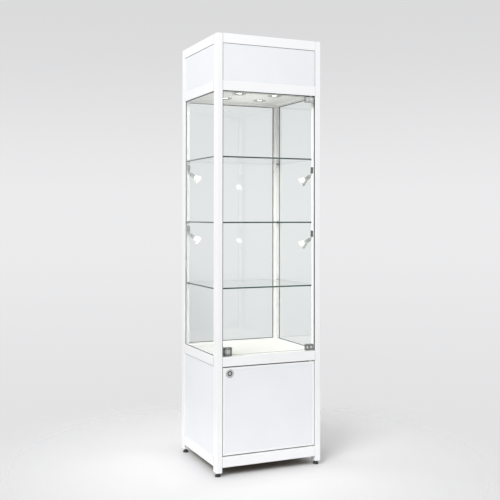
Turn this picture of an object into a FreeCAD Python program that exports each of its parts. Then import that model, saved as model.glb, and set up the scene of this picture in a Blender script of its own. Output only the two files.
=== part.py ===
import FreeCAD, Part
import os
import re
import Sketcher

# Tower showcase of slotted aluminium extrusions: a cupboard, a glazed display with three glass
# shelves and a lit header. Front is -Y, right is +X, the floor is Z = 0. Millimetres and degrees.
SIZES = {
    # frame
    "width": 500,
    "depth": 450,
    "post_width": 26,
    "post_depth": 40,
    "rail_depth": 30,
    "rail_height": 42,
    "plinth_rail_height": 45,
    "foot_height": 18,
    "post_overhang": 22,
    "cupboard_height": 384,
    "showcase_height": 1143,
    "header_height": 162,
    "wall": 2,
    "edge_radius": 1.2,
    "connector_length": 12,
    "connector_gap": 0.1,
    "cap_thickness": 2,
    "cap_plug": 12,
    "cap_gap": 0.1,
    # glazing and panels
    "sheet_thickness": 4,
    "panel_inset": 1.2,
    "panel_joint": 1.2,
    "panel_rest": 0.3,
    "groove_inset": 4,
    "groove_depth": 10,
    "gasket_gap": 0.6,
    "gasket_lip": 3,
    "gasket_play": 0.1,
    "seat_gap": 0.8,
    "board_thickness": 6,
    "board_groove_depth": 8,
    "board_gap": 0.2,
    "deck_inset": 4,
    "ceiling_inset": 11,
    "floor_inset": 4,
    "roof_inset": 6,
    # shelves
    "shelf_pitch": 286,
    "shelf_thickness": 6,
    "shelf_side_gap": 2.2,
    "shelf_end_gap": 4,
    "clip_plate": 3.8,
    "clip_width": 9,
    "clip_reach": 13,
    "clip_lip": 8,
    "clip_thickness": 2.5,
    "clip_play": 0.2,
    "clip_inset": 20,
    # lamps in the header
    "downlight_spacing_x": 176,
    "downlight_spacing_y": 164,
    "downlight_radius": 27,
    "downlight_rim": 5.5,
    "downlight_depth": 28,
    "downlight_wall": 2,
    "bezel_thickness": 3,
    "lens_thickness": 3,
    "lens_gap": 0.1,
    "driver_length": 130,
    "driver_width": 46,
    "driver_height": 28,
    "driver_edge_radius": 3,
    "grommet_radius": 8,
    "grommet_lip": 3,
    "grommet_thickness": 2,
    "grommet_inset": 60,
    # spotlights on the posts
    "spot_inset": 19,
    "spot_drop_rear": 14,
    "spot_drop_front": 30,
    "spot_base_width": 12,
    "spot_base_plate": 4,
    "spot_base_height": 28,
    "spot_ledge": 6,
    "spot_stand_off": 7,
    "spot_ledge_reach": 5.5,
    "spot_base_radius": 3,
    "spot_spigot_radius": 2.5,
    "spot_collar_radius": 5.5,
    "spot_collar_height": 2.5,
    "spot_fork_width": 9,
    "spot_fork_length": 10.5,
    "spot_fork_cheek": 2,
    "spot_tongue": 4.6,
    "spot_tongue_play": 0.2,
    "spot_pin_radius": 1.5,
    "spot_pin_drop": 9,
    "spot_neck_start": 9,
    "spot_neck_radius": 8.5,
    "spot_neck_length": 22,
    "spot_flare_length": 28,
    "spot_mouth_radius": 20,
    "spot_lip": 2,
    "spot_shell": 1.4,
    "spot_lens_inset": 5,
    "spot_turn": 42,
    "spot_tilt": 36,
    # feet
    "foot_radius": 12.8,
    "foot_edge": 4,
    "foot_taper": 9,
    "foot_neck_radius": 7,
    "stud_radius": 4,
    "stud_length": 22,
    "insert_height": 20,
    "insert_gap": 0.1,
    # both doors
    "door_gap": 3,
    "pivot_inset": 18,
    "pivot_radius": 2.5,
    "pivot_engagement": 10,
    "running_gap": 0.05,
    "bush_wall": 1.5,
    "bush_flange": 1.6,
    "bush_length": 12,
    "bush_play": 0.5,
    # glass door
    "door_glass_thickness": 6,
    "door_glass_recess": 4,
    "clamp_width": 40,
    "clamp_inset": 6,
    "clamp_height": 28,
    "clamp_plate": 2.8,
    "clamp_bridge": 3,
    "clamp_pad": 0.3,
    "clamp_edge_radius": 1,
    "lock_width": 36,
    "lock_inset": 5.5,
    "lock_height": 36,
    "lock_front": 2.8,
    "lock_back": 14,
    "lock_radius": 9,
    "lock_proud": 0.6,
    "lock_bolt_width": 20,
    "lock_bolt_height": 30,
    "lock_bolt_thickness": 5,
    "lock_bolt_play": 0.2,
    "lock_rear_wall": 2,
    "drive_radius": 4.5,
    "drive_pin_radius": 1.5,
    "drive_pin_play": 0.4,
    "strike_play": 0.8,
    "key_slot_width": 1.4,
    "key_slot_height": 9,
    "key_slot_depth": 2,
    # cupboard door
    "door_thickness": 18,
    "door_recess": 3,
    "door_edge": 10,
    "door_panel_recess": 0.6,
    "pivot_hole_gap": 0.02,
    "cam_lock_inset_x": 32,
    "cam_lock_inset_z": 27.5,
    "cam_lock_radius": 9,
    "cam_lock_flange_radius": 17,
    "cam_lock_flange": 2,
    "cam_lock_nut_radius": 13,
    "cam_lock_nut": 4,
    "cam_lock_plug_radius": 6,
    "cam_lock_plug_proud": 0.8,
    "cam_thickness": 2.2,
    "cam_length": 43,
    "cam_width": 12,
    "cam_gap": 0.6,
}

doc = FreeCAD.newDocument("display_tower")
sheet = doc.addObject("Spreadsheet::Sheet", "Sizes")
for row, (name, value) in enumerate(SIZES.items(), start=1):
    sheet.set(f"A{row}", name)
    sheet.set(f"B{row}", str(value))
    sheet.setAlias(f"B{row}", name)
doc.recompute()
nodes = []


def sized(text):
    """Return the expression with the sheet's name before each size in it."""
    return re.sub(r"[a-z]\w+", lambda word: f"Sizes.{word[0]}" if word[0] in SIZES else word[0], text)


def number(text):
    """Return what an expression of sizes comes to."""
    return float(sheet.evalExpression(sized(text)))


def bind(item, **expressions):
    """Tie properties of an object to expressions of sizes."""
    for name, text in expressions.items():
        item.setExpression(name, sized(text))
    return item


def place(item, x, y, z, rotation=FreeCAD.Rotation()):
    """Put an object at a point given in sizes, turned as asked."""
    item.Placement = FreeCAD.Placement(FreeCAD.Vector(), rotation)
    for axis, text in zip("xyz", (x, y, z)):
        item.setExpression(f"Placement.Base.{axis}", sized(text))
    return item


def about(axis, angle):
    """Return a turn about one of the frame's axes."""
    return FreeCAD.Rotation(FreeCAD.Vector(*(float(axis == name) for name in "xyz")), angle)


def node(item, label):
    """Name a finished sub-part and put it on the list of sub-parts."""
    item.Label = label
    nodes.append(item)
    return item


def box(x, y, z, length, width, height, rotation=FreeCAD.Rotation()):
    block = bind(doc.addObject("Part::Box", "Box"), Length=length, Width=width, Height=height)
    return place(block, x, y, z, rotation)


def rod(x, y, z, radius, height, rotation=FreeCAD.Rotation()):
    cylinder = bind(doc.addObject("Part::Cylinder", "Rod"), Radius=radius, Height=height)
    return place(cylinder, x, y, z, rotation)


def bar(x, y, z, radius, length):
    """Return a cylinder that runs towards +Y from a point."""
    return rod(x, y, z, radius, length, about("x", -90))


def fuse(*items):
    union = doc.addObject("Part::MultiFuse", "Union")
    union.Shapes = list(items)
    union.Refine = True
    return union


def cut(base, *tools):
    difference = doc.addObject("Part::Cut", "Difference")
    difference.Base = base
    difference.Tool = tools[0] if len(tools) == 1 else fuse(*tools)
    return difference


def group(*items):
    """Keep like pieces together as separate solids."""
    bundle = doc.addObject("Part::Compound", "Group")
    bundle.Links = list(items)
    return bundle


def outline(body, plane, loops, circles=()):
    """Draw closed loops of straight edges, and circles, with every corner bound to the sheet."""
    sketch = body.newObject("Sketcher::SketchObject", "Outline")
    origin = next(part for part in body.Origin.OriginFeatures if part.Role == plane)
    sketch.AttachmentSupport = [(origin, "")]
    sketch.MapMode = "FlatFace"
    datums = []

    def hold(kind, *where, text):
        datums.append((Sketcher.Constraint(kind, *where, number(text)), text))

    for corners in loops:
        first = sketch.GeometryCount
        points = [FreeCAD.Vector(number(across), number(up), 0) for across, up in corners]
        for start, end in zip(points, points[1:] + points[:1]):
            sketch.addGeometry(Part.LineSegment(start, end), False)
        for step, (across, up) in enumerate(corners):
            before = first + (step - 1) % len(corners)
            sketch.addConstraint(Sketcher.Constraint("Coincident", before, 2, first + step, 1))
            hold("DistanceX", -1, 1, first + step, 1, text=across)
            hold("DistanceY", -1, 1, first + step, 1, text=up)
    for across, up, radius in circles:
        centre = FreeCAD.Vector(number(across), number(up), 0)
        ring = sketch.addGeometry(Part.Circle(centre, FreeCAD.Vector(0, 0, 1), number(radius)), False)
        hold("DistanceX", -1, 1, ring, 3, text=across)
        hold("DistanceY", -1, 1, ring, 3, text=up)
        hold("Radius", ring, text=radius)
    for constraint, text in datums:
        sketch.setExpression(f"Constraints[{sketch.addConstraint(constraint)}]", sized(text))
    return sketch


def extruded(plane, length, *loops, circles=()):
    """Return a body padded from a profile: up from the XY plane, towards -Y from XZ, +X from YZ."""
    body = doc.addObject("PartDesign::Body", "Extrusion")
    sketch = outline(body, plane, loops, circles)
    pad = bind(body.newObject("PartDesign::Pad", "Pad"), Length=length)
    pad.Profile = sketch
    return body


def turned(profile):
    """Return a body turned about Z from a profile of radius and height."""
    body = doc.addObject("PartDesign::Body", "Turning")
    sketch = outline(body, "XZ_Plane", (profile,))
    revolution = body.newObject("PartDesign::Revolution", "Revolution")
    revolution.Profile = sketch
    revolution.ReferenceAxis = (sketch, ["V_Axis"])
    revolution.Angle = 360
    return body


def rounded(body, radius, direction, corners):
    """Round a body's straight edges that run along a direction through the given corners."""
    doc.recompute()
    solid = body.Tip
    across = [axis for axis in "xyz" if axis != direction]
    places = [tuple(number(text) for text in corner) for corner in corners]
    names = []
    for count, edge in enumerate(solid.Shape.Edges, start=1):
        ends = [tuple(getattr(vertex.Point, axis) for axis in across) for vertex in edge.Vertexes]
        for spot in places:
            if all(abs(value - wanted) < 1e-6 for end in ends for value, wanted in zip(end, spot)):
                names.append(f"Edge{count}")
    fillet = body.newObject("PartDesign::Fillet", "Fillet")
    fillet.Base = (solid, names)
    bind(fillet, Radius=radius)
    return body


# Levels of the frame, from the floor up
plinth_base = "(foot_height + post_overhang)"
plinth_top = f"({plinth_base} + plinth_rail_height)"
middle_base = f"({plinth_top} + cupboard_height)"
middle_top = f"({middle_base} + rail_height)"
header_base = f"({middle_top} + showcase_height)"
header_top = f"({header_base} + rail_height)"
top_base = f"({header_top} + header_height)"
top = f"({top_base} + rail_height)"

# Clear opening between the posts, and the groove that takes glass and panels
inner_x = "(width / 2 - post_width)"
inner_y = "(depth / 2 - post_depth)"
groove_end = "(groove_inset + sheet_thickness + 2 * gasket_gap)"
board_floor = "(rail_depth - board_groove_depth)"
bite = "(groove_depth - seat_gap)"


# Corner posts: one slotted tube, a groove in each of the two faces that meet a neighbour.
# Its outlines start at the post's outer corner and run across and along it.
def post_profile(across, along):
    """Return the outline of a post's wall with its two grooves."""
    across_floor = f"({across} - groove_depth)"
    along_floor = f"({along} - groove_depth)"
    return (
        ("0", "0"),
        (across, "0"),
        (across, "groove_inset"),
        (across_floor, "groove_inset"),
        (across_floor, groove_end),
        (across, groove_end),
        (across, along),
        (groove_end, along),
        (groove_end, along_floor),
        ("groove_inset", along_floor),
        ("groove_inset", along),
        ("0", along),
    )


def post_chamber(across, along, gap):
    """Return the outline of a post's hollow, drawn in by a gap."""
    near = f"(wall + {gap})"
    past_groove = f"({groove_end} + wall + {gap})"
    across_step = f"({across} - groove_depth - wall - {gap})"
    along_step = f"({along} - groove_depth - wall - {gap})"
    across_far = f"({across} - wall - {gap})"
    along_far = f"({along} - wall - {gap})"
    return (
        (near, near),
        (across_step, near),
        (across_step, past_groove),
        (across_far, past_groove),
        (across_far, along_far),
        (past_groove, along_far),
        (past_groove, along_step),
        (near, along_step),
    )


posts = {
    "front_left": (0, "-1", "-1", "post_width", "post_depth"),
    "front_right": (90, "1", "-1", "post_depth", "post_width"),
    "rear_right": (180, "1", "1", "post_width", "post_depth"),
    "rear_left": (270, "-1", "1", "post_depth", "post_width"),
}
inserts = []
caps = []
for corner, (angle, x_sign, y_sign, across, along) in posts.items():
    outer = (f"{x_sign} * width / 2", f"{y_sign} * depth / 2", "foot_height", about("z", angle))
    post_corners = (("0", "0"), (across, "0"), (across, along), ("0", along))
    walls = (post_profile(across, along), post_chamber(across, along, "0"))
    post = extruded("XY_Plane", f"{top} - cap_thickness - foot_height", *walls)
    rounded(post, "edge_radius", "z", post_corners)
    node(place(post, *outer), f"post_{corner}")

    # moulded cap on the post's upper end, held by a plug in the hollow
    lid = rounded(extruded("XY_Plane", "cap_thickness", post_corners), "edge_radius", "z", post_corners)
    place(lid, *outer[:2], f"{top} - cap_thickness", outer[3])
    stem = extruded("XY_Plane", "cap_plug + cap_thickness / 2", post_chamber(across, along, "cap_gap"))
    place(stem, *outer[:2], f"{top} - cap_thickness - cap_plug", outer[3])
    caps.append(fuse(lid, stem))

    # threaded plug in the post's lower end, which takes the stud of the levelling foot
    stud_hole = (f"{across} / 2", f"{along} / 2", "stud_radius + running_gap")
    filling = post_chamber(across, along, "insert_gap")
    plug = extruded("XY_Plane", "insert_height", filling, circles=(stud_hole,))
    inserts.append(place(plug, *outer))

    # levelling foot: moulded cone on a steel stud, screwed home against the post
    foot = turned((
        ("0", "0"),
        ("foot_radius", "0"),
        ("foot_radius", "foot_edge"),
        ("foot_neck_radius", "foot_edge + foot_taper"),
        ("foot_neck_radius", "foot_height"),
        ("stud_radius", "foot_height"),
        ("stud_radius", "foot_height + stud_length"),
        ("0", "foot_height + stud_length"),
    ))
    foot_x = f"{x_sign} * (width - post_width) / 2"
    foot_y = f"{y_sign} * (depth - post_depth) / 2"
    node(place(foot, foot_x, foot_y, "0"), f"foot_{corner}")
node(group(*inserts), "foot_inserts")
node(group(*caps), "post_caps")

# The four sides of the cabinet: turn, start of the side's length, inward and lengthwise directions
sides = {
    "left": (0, "-width / 2", inner_y, (1, 0), (0, -1), f"(2 * {inner_y})"),
    "front": (90, f"-{inner_x}", "-depth / 2", (0, 1), (1, 0), f"(2 * {inner_x})"),
    "right": (180, "width / 2", f"-{inner_y}", (-1, 0), (0, 1), f"(2 * {inner_y})"),
    "rear": (270, inner_x, "depth / 2", (0, -1), (-1, 0), f"(2 * {inner_x})"),
}


def on_side(side, item, inward, along, z):
    """Place an object drawn as inward, upward, lengthwise on a side of the cabinet."""
    angle, x, y, inward_way, along_way, _ = sides[side]
    x_text = f"{x} + {inward_way[0]} * ({inward}) + {along_way[0]} * ({along})"
    y_text = f"{y} + {inward_way[1]} * ({inward}) + {along_way[1]} * ({along})"
    return place(item, x_text, y_text, z, about("z", angle) * about("x", 90))


def slab(side, inward, along, z, thickness, length, height):
    """Return a flat plate that stands on a side of the cabinet."""
    plate = bind(doc.addObject("Part::Box", "Plate"), Length=thickness, Width=height, Height=length)
    return on_side(side, plate, inward, along, z)


def rail_loops(height, slot_low, slot_high, slot_at_top, grooves):
    """Return a rail's profile and its hollow: glazing grooves outside, a board slot inside."""
    profile = [("0", "0")]
    if "below" in grooves:
        profile += [("groove_inset", "0"), ("groove_inset", "groove_depth")]
        profile += [(groove_end, "groove_depth"), (groove_end, "0")]
    profile += [("rail_depth", "0"), ("rail_depth", slot_low), (board_floor, slot_low)]
    profile += [(board_floor, slot_high), ("rail_depth", slot_high), ("rail_depth", height)]
    if "above" in grooves:
        profile += [(groove_end, height), (groove_end, f"{height} - groove_depth")]
        profile += [("groove_inset", f"{height} - groove_depth"), ("groove_inset", height)]
    profile += [("0", height)]

    past_groove = f"({groove_end} + wall)"
    before_slot = f"({board_floor} - wall)"
    hollow = [("wall", "wall")]
    if "below" in grooves:
        hollow = [("wall", "groove_depth + wall"), (past_groove, "groove_depth + wall")]
        hollow += [(past_groove, "wall")]
    if slot_at_top:
        hollow += [("rail_depth - wall", "wall"), ("rail_depth - wall", f"{slot_low} - wall")]
        hollow += [(before_slot, f"{slot_low} - wall"), (before_slot, f"{height} - wall")]
    else:
        hollow += [(before_slot, "wall"), (before_slot, f"{slot_high} + wall")]
        hollow += [("rail_depth - wall", f"{slot_high} + wall"), ("rail_depth - wall", f"{height} - wall")]
    if "above" in grooves:
        hollow += [(past_groove, f"{height} - wall"), (past_groove, f"{height} - groove_depth - wall")]
        hollow += [("wall", f"{height} - groove_depth - wall")]
    else:
        hollow += [("wall", f"{height} - wall")]
    return profile, hollow


# Levels of rails: base, height, board slot, whether it is near the top, grooves of the front rail
# and of the other three
slot_width = "(board_thickness + 2 * board_gap)"
levels = {
    "plinth": (plinth_base, "plinth_rail_height", "floor_inset", True, (), ("above",)),
    "middle": (middle_base, "rail_height", "deck_inset", True, (), ("above", "below")),
    "header": (header_base, "rail_height", "ceiling_inset", False, ("above",), ("above", "below")),
    "top": (top_base, "rail_height", "roof_inset", True, ("below",), ("below",)),
}
front_rails = {}
connectors = []
for level, (base, height, inset, slot_at_top, front_grooves, other_grooves) in levels.items():
    slot_low = f"({inset} - board_gap)"
    if slot_at_top:
        slot_low = f"({height} - {inset} + board_gap - {slot_width})"
    slot_high = f"({slot_low} + {slot_width})"
    others = []
    for side in sides:
        grooves = front_grooves if side == "front" else other_grooves
        length = sides[side][-1]
        rail = extruded("XY_Plane", length, *rail_loops(height, slot_low, slot_high, slot_at_top, grooves))
        rounded(rail, "edge_radius", "z", (("0", "0"), ("0", height)))
        on_side(side, rail, "0", "0", base)
        if side == "front":
            front_rails[level] = rail
        else:
            others.append(rail)

        # cast connector in each end of the rail's hollow, drawn up against the post
        start = f"({groove_end} + wall + connector_gap)"
        thickness = f"{board_floor} - wall - connector_gap - {start}"
        tall = f"{height} - 2 * (wall + connector_gap)"
        lift = f"{base} + wall + connector_gap"
        for along in ("0", f"{length} - connector_length"):
            connectors.append(slab(side, start, along, lift, thickness, "connector_length", tall))
    node(group(*others), f"{level}_rails")
node(group(*connectors), "rail_connectors")


def sheet_plate(side, z_low, z_high):
    """Return a sheet of glass or panel that is let into the grooves of a side."""
    start = "groove_inset + gasket_gap"
    length = f"{sides[side][-1]} + 2 * {bite}"
    height = f"{z_high} - {z_low} + 2 * {bite}"
    return slab(side, start, f"-{bite}", f"{z_low} - {bite}", "sheet_thickness", length, height)


def faced_plate(side, z_low, z_high):
    """Return a panel whose tongue sits in the grooves and whose face stands nearly flush with the frame."""
    thickness = "groove_inset + gasket_gap + sheet_thickness / 2 - panel_inset"
    length = f"{sides[side][-1]} - 2 * panel_joint"
    height = f"{z_high} - {z_low} - panel_joint - panel_rest"
    face = slab(side, "panel_inset", "panel_joint", f"{z_low} + panel_rest", thickness, length, height)
    return fuse(sheet_plate(side, z_low, z_high), face)


# Fixed glass on three sides, each pane in a channel gasket whose lip shows past the frame
gaskets = []
for side in ("left", "right", "rear"):
    length = sides[side][-1]
    node(sheet_plate(side, middle_top, header_base), f"glass_{side}")
    bite_out = f"({bite} + seat_gap - gasket_play)"
    strip = slab(
        side,
        "groove_inset + gasket_play",
        f"-{bite_out}",
        f"{middle_top} - {bite_out}",
        "sheet_thickness + 2 * (gasket_gap - gasket_play)",
        f"{length} + 2 * {bite_out}",
        f"showcase_height + 2 * {bite_out}",
    )
    window = slab(
        side,
        "0",
        "gasket_lip",
        f"{middle_top} + gasket_lip",
        "rail_depth",
        f"{length} - 2 * gasket_lip",
        "showcase_height - 2 * gasket_lip",
    )
    gaskets.append(cut(strip, window, sheet_plate(side, middle_top, header_base)))
node(group(*gaskets), "glazing_gaskets")

# Header panels; the rear one is plain and has a membrane grommet for the lamps' cable
grommet_x = f"({inner_x} - grommet_inset)"
grommet_z = f"({header_top} + grommet_inset)"
rear_sheet_y = "(depth / 2 - groove_inset - gasket_gap - sheet_thickness / 2)"
hole_radius = "grommet_radius + running_gap"
rear_hole = bar(grommet_x, inner_y, grommet_z, hole_radius, "post_depth")
node(faced_plate("front", header_top, top_base), "header_panel_front")
node(group(
    faced_plate("left", header_top, top_base),
    faced_plate("right", header_top, top_base),
    cut(sheet_plate("rear", header_top, top_base), rear_hole),
), "header_panels")
half_sheet = "(sheet_thickness / 2 + running_gap)"
grommet = turned((
    ("0", "-grommet_thickness / 4"),
    ("grommet_radius / 2", "-grommet_thickness / 4"),
    ("grommet_radius / 2", f"-{half_sheet} - grommet_thickness"),
    ("grommet_radius + grommet_lip", f"-{half_sheet} - grommet_thickness"),
    ("grommet_radius + grommet_lip", f"-{half_sheet}"),
    ("grommet_radius", f"-{half_sheet}"),
    ("grommet_radius", half_sheet),
    ("grommet_radius + grommet_lip", half_sheet),
    ("grommet_radius + grommet_lip", f"{half_sheet} + grommet_thickness"),
    ("grommet_radius / 2", f"{half_sheet} + grommet_thickness"),
    ("grommet_radius / 2", "grommet_thickness / 4"),
    ("0", "grommet_thickness / 4"),
))
node(place(grommet, grommet_x, rear_sheet_y, grommet_z, about("x", 90)), "cable_grommet")

# Cupboard panels on three sides, the rear one plain
for side in ("left", "right"):
    node(faced_plate(side, plinth_top, middle_base), f"cupboard_panel_{side}")
node(sheet_plate("rear", plinth_top, middle_base), "cupboard_panel_rear")

# Horizontal boards, notched at the posts, with their edges in the rails' slots
board_x = "(width / 2 - rail_depth + board_groove_depth - seat_gap)"
board_y = "(depth / 2 - rail_depth + board_groove_depth - seat_gap)"
notch_x = f"({inner_x} - seat_gap)"
notch_y = f"({inner_y} - seat_gap)"


def board_loop():
    """Return the outline of a board that fills the frame's plan."""
    quarter = ((board_x, notch_y), (notch_x, notch_y), (notch_x, board_y))
    loop = list(quarter)
    loop += [(f"-({x})", y) for x, y in reversed(quarter)]
    loop += [(f"-({x})", f"-({y})") for x, y in quarter]
    loop += [(x, f"-({y})") for x, y in reversed(quarter)]
    return loop


ceiling = f"({header_base} + ceiling_inset)"
lamp_places = [
    (f"{x_sign} * downlight_spacing_x / 2", f"{y_sign} * downlight_spacing_y / 2")
    for x_sign in ("-1", "1")
    for y_sign in ("-1", "1")
]
lamp_holes = [(x, y, "downlight_radius + lens_gap") for x, y in lamp_places]
boards = {
    "cupboard_floor": (f"{plinth_top} - floor_inset - board_thickness", ()),
    "deck": (f"{middle_top} - deck_inset - board_thickness", ()),
    "ceiling": (ceiling, lamp_holes),
    "roof": (f"{top} - roof_inset - board_thickness", ()),
}
for label, (z, holes) in boards.items():
    board = extruded("XY_Plane", "board_thickness", board_loop(), circles=holes)
    node(place(board, "0", "0", z), label)

# Recessed downlights: turned bezel with its can above the ceiling, and a lens
can_inside = "(downlight_radius - downlight_wall)"
bezel_radius = "(downlight_radius + downlight_rim)"
bezels = []
lenses = []
for x, y in lamp_places:
    bezel = turned((
        ("0", "downlight_depth"),
        ("downlight_radius", "downlight_depth"),
        ("downlight_radius", "0"),
        (bezel_radius, "0"),
        (bezel_radius, "-bezel_thickness / 3"),
        (f"{bezel_radius} - downlight_rim / 3", "-bezel_thickness"),
        (f"{can_inside} + downlight_rim / 2", "-bezel_thickness"),
        (can_inside, "0"),
        (can_inside, "downlight_depth - downlight_wall"),
        ("0", "downlight_depth - downlight_wall"),
    ))
    bezels.append(place(bezel, x, y, ceiling))
    lens = turned((
        ("0", "0"),
        (f"{can_inside} - lens_gap", "0"),
        (f"{can_inside} - lens_gap", "lens_thickness"),
        ("0", "lens_thickness"),
    ))
    lenses.append(place(lens, x, y, ceiling))
node(group(*bezels), "downlight_bezels")
node(group(*lenses), "downlight_lenses")

# Driver of the lamps, on top of the ceiling
driver = extruded("XY_Plane", "driver_height", (
    ("-driver_length / 2", "-driver_width / 2"),
    ("driver_length / 2", "-driver_width / 2"),
    ("driver_length / 2", "driver_width / 2"),
    ("-driver_length / 2", "driver_width / 2"),
))
driver_corners = [
    (f"{x_sign} * driver_length / 2", f"{y_sign} * driver_width / 2")
    for x_sign in ("-1", "1")
    for y_sign in ("-1", "1")
]
rounded(driver, "driver_edge_radius", "z", driver_corners)
node(place(driver, "0", "0", f"{ceiling} + board_thickness"), "lamp_driver")

# Glass shelves between the posts, and the chrome clips that hold their corners
pane_inside = "(groove_inset + gasket_gap + sheet_thickness)"
shelf_half_x = f"(width / 2 - {pane_inside} - shelf_side_gap)"
shelf_half_y = f"({inner_y} - shelf_end_gap)"
clips = []
for count, name in enumerate(("lower", "middle", "upper"), start=1):
    underside = f"({middle_top} + {count} * shelf_pitch)"
    corner = (f"-{shelf_half_x}", f"-{shelf_half_y}", underside)
    shelf = box(*corner, f"2 * {shelf_half_x}", f"2 * {shelf_half_y}", "shelf_thickness")
    node(shelf, f"shelf_{name}")
    for x_sign in ("-1", "1"):
        for y_sign, angle in (("-1", 0), ("1", 180)):
            over = "shelf_thickness + clip_play"
            clip = extruded("YZ_Plane", "clip_width", (
                ("0", "-clip_thickness"),
                ("clip_reach", "-clip_thickness"),
                ("clip_reach", "0"),
                ("clip_plate", "0"),
                ("clip_plate", over),
                ("clip_lip", over),
                ("clip_lip", f"{over} + clip_thickness / 2"),
                ("0", f"{over} + clip_thickness / 2"),
            ))
            edge = f"{x_sign} * (width / 2 - clip_inset) + {y_sign} * clip_width / 2"
            clips.append(place(clip, edge, f"{y_sign} * {inner_y}", underside, about("z", angle)))
node(group(*clips), "shelf_clips")

# Spotlights: two on the rear left post, two on the front right post, the same turned half round.
# Each has a bracket on the post, a fork that swivels in it and a head that tilts in the fork.
fork_gap = "(spot_tongue + 2 * spot_tongue_play)"
fork_thickness = f"({fork_gap} + 2 * spot_fork_cheek)"
neck_end = "(spot_neck_start + spot_neck_length)"
flare_end = f"({neck_end} + spot_flare_length)"
mouth_end = f"({flare_end} + spot_lip)"
flare_slope = "((spot_mouth_radius - spot_neck_radius) / spot_flare_length)"
lens_back = f"({mouth_end} - spot_lens_inset - spot_shell)"
lens_front = f"({mouth_end} - spot_lens_inset)"


def cone_inside(height):
    """Return the inner radius of the flared shell at a height along the head."""
    return f"(spot_neck_radius + ({height} - {neck_end}) * {flare_slope} - spot_shell)"


def spot_base():
    bracket = extruded("YZ_Plane", "spot_base_width", (
        ("spot_stand_off", "0"),
        ("spot_stand_off", "spot_base_height"),
        ("spot_stand_off - spot_base_plate", "spot_base_height"),
        ("spot_stand_off - spot_base_plate", "spot_ledge"),
        ("-spot_ledge_reach", "spot_ledge"),
        ("-spot_ledge_reach", "0"),
    ))
    ledge_corners = (("0", "-spot_ledge_reach"), ("spot_base_width", "-spot_ledge_reach"))
    rounded(bracket, "spot_base_radius", "z", ledge_corners)
    place(bracket, "-spot_base_width / 2", "0", "0")
    return cut(bracket, rod("0", "0", "0", "spot_spigot_radius + running_gap", "spot_ledge"))


def spot_arm():
    spigot = rod("0", "0", "-spot_collar_height", "spot_spigot_radius", "spot_collar_height + spot_ledge")
    collar = rod("0", "0", "-spot_collar_height", "spot_collar_radius", "spot_collar_height")
    fork_low = "-(spot_collar_height + spot_fork_length)"
    fork = extruded("YZ_Plane", "spot_fork_width", (
        (f"-{fork_thickness} / 2", fork_low),
        (f"-{fork_gap} / 2", fork_low),
        (f"-{fork_gap} / 2", "-spot_collar_height"),
        (f"{fork_gap} / 2", "-spot_collar_height"),
        (f"{fork_gap} / 2", fork_low),
        (f"{fork_thickness} / 2", fork_low),
        (f"{fork_thickness} / 2", "-spot_collar_height / 2"),
        (f"-{fork_thickness} / 2", "-spot_collar_height / 2"),
    ))
    place(fork, "-spot_fork_width / 2", "0", "0")
    pin = bar("0", f"-{fork_thickness} / 2", "-spot_pin_drop", "spot_pin_radius", fork_thickness)
    return fuse(spigot, collar, fork, pin)


def spot_head():
    low = "-spot_tongue / 2"
    eye = bar("0", low, "0", "spot_fork_width / 2", "spot_tongue")
    reach = "spot_neck_start + spot_shell"
    neck = box("-spot_fork_width / 2", low, "0", "spot_fork_width", "spot_tongue", reach)
    bell = turned((
        ("0", "spot_neck_start"),
        ("spot_neck_radius - spot_shell", "spot_neck_start"),
        ("spot_neck_radius", "spot_neck_start + spot_shell"),
        ("spot_neck_radius", neck_end),
        ("spot_mouth_radius", flare_end),
        ("spot_mouth_radius", mouth_end),
        ("spot_mouth_radius - spot_shell", mouth_end),
        ("spot_mouth_radius - spot_shell", flare_end),
        (cone_inside(f"({neck_end} + spot_shell)"), f"{neck_end} + spot_shell"),
        ("0", f"{neck_end} + spot_shell"),
    ))
    pin_hole = bar("0", "-spot_tongue", "0", "spot_pin_radius + running_gap", "2 * spot_tongue")
    lens = turned((
        ("0", lens_back),
        (f"{cone_inside(lens_back)} - lens_gap", lens_back),
        (f"{cone_inside(lens_front)} - lens_gap", lens_front),
        ("0", lens_front),
    ))
    return group(cut(fuse(eye, neck, bell), pin_hole), lens)


spot_bases = []
for corner, half_turn, sign, drop in (
    ("rear_left", 0, "1", "spot_drop_rear"),
    ("front_right", 180, "-1", "spot_drop_front"),
):
    facing = about("z", half_turn)
    aimed = about("z", half_turn - number("spot_turn"))
    tipped = aimed * about("y", 90 + number("spot_tilt"))
    axis_x = f"-1 * {sign} * (width / 2 - spot_inset)"
    axis_y = f"{sign} * ({inner_y} - spot_stand_off)"
    for count, name in ((2, "lower"), (3, "upper")):
        axis_z = f"({middle_top} + {count} * shelf_pitch - {drop} - spot_base_height)"
        spot_bases.append(place(group(spot_base()), axis_x, axis_y, axis_z, facing))
        arm = group(spot_arm())
        node(place(arm, axis_x, axis_y, axis_z, aimed), f"spot_arm_{corner}_{name}")
        head = spot_head()
        node(place(head, axis_x, axis_y, f"{axis_z} - spot_pin_drop", tipped), f"spot_head_{corner}_{name}")
node(group(*spot_bases), "spot_bases")

# Pivot line of both doors, at the right, and the flanged bushes that carry the pins in the rails
door_half = f"({inner_x} - door_gap)"
pivot_x = f"({door_half} - pivot_inset)"
pivot_y = "(-depth / 2 + door_glass_recess + door_glass_thickness / 2)"
bush_radius = "(pivot_radius + running_gap + bush_wall)"
bush_bore = "(pivot_radius + running_gap)"
bush_hole = f"{bush_radius} + running_gap"


def bush(z, flange, upside_down):
    """Return a bush that stands on a rail's face, its flange in the gap beside the door."""
    sleeve = turned((
        (bush_bore, "-bush_length"),
        (bush_radius, "-bush_length"),
        (bush_radius, "0"),
        (f"{bush_radius} + bush_flange", "0"),
        (f"{bush_radius} + bush_flange", flange),
        (bush_bore, flange),
    ))
    return place(sleeve, pivot_x, pivot_y, z, about("x", 180 if upside_down else 0))


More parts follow.
